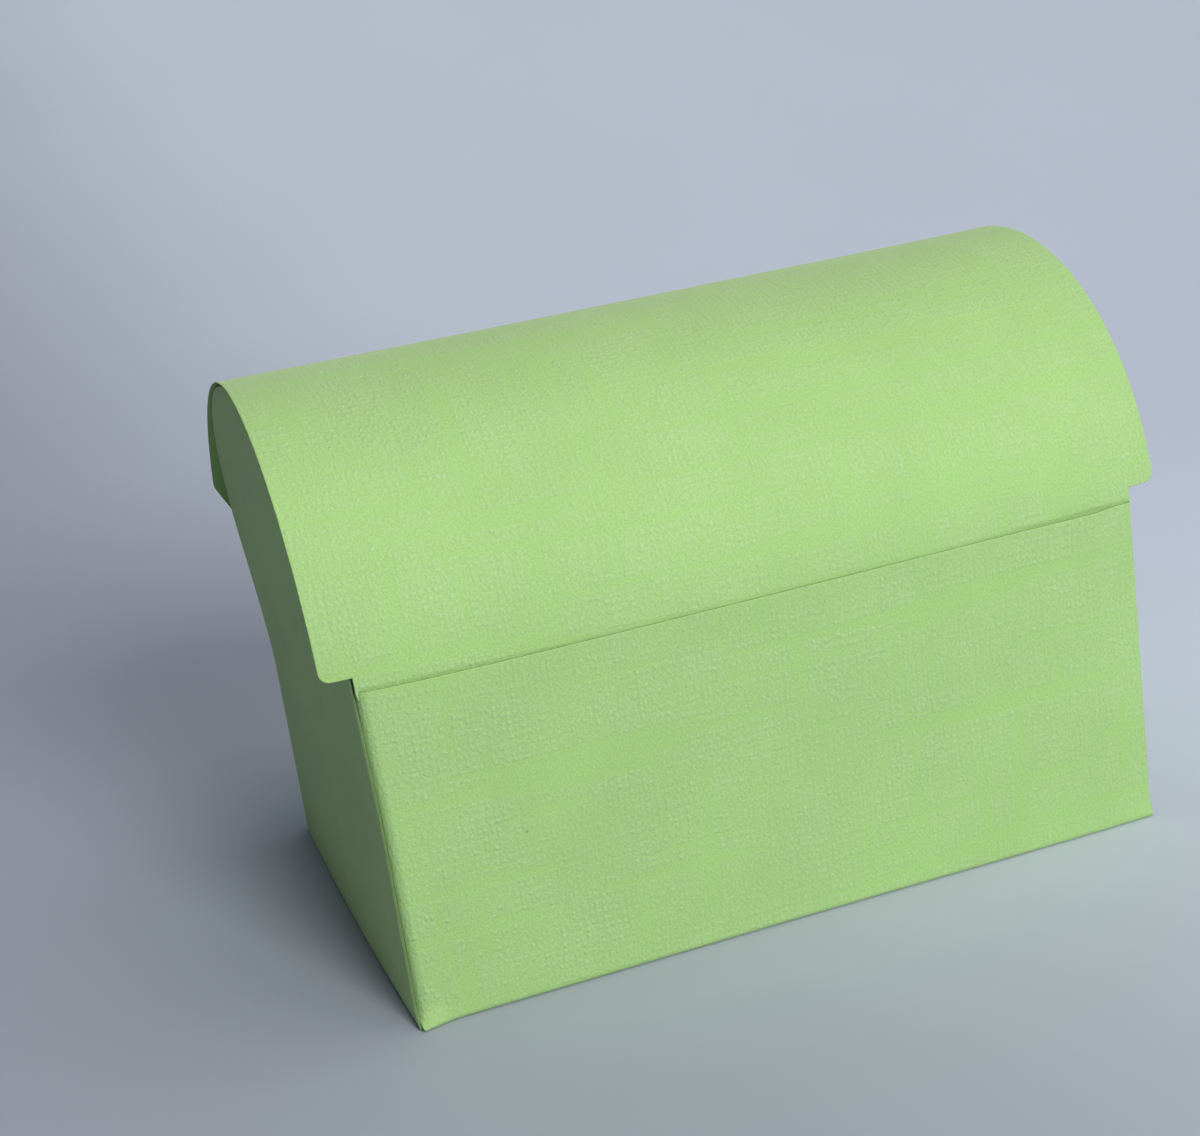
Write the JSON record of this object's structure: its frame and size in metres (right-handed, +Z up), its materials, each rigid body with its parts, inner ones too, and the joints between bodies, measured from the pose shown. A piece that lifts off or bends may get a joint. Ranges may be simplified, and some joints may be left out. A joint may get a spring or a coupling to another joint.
{
  "type": "treasure chest favor box",
  "caption": "Small gift box folded from one sheet of green embossed card, with a vaulted lid that hinges at the back and tucks in behind the front panel.",
  "frame": {"origin": "middle of the box's underside, on the surface that it stands on", "axes": "+X along the box, -Y out of the front panel, +Z up"},
  "size_m": [0.1076, 0.0666, 0.0738],
  "materials": {
    "embossed_card": "matte, canvas embossed"
  },
  "bodies": {
    "base": {"chest_base": "embossed_card"},
    "lid": {"chest_lid": "embossed_card"}
  },
  "joints": [
    {"name": "lid_hinge", "type": "hinge", "parent": "base", "child": "lid", "pos_m": [0, 0.03325, 0.0435], "axis": [-1, 0, 0], "range_deg": [0, 180]}
  ]
}
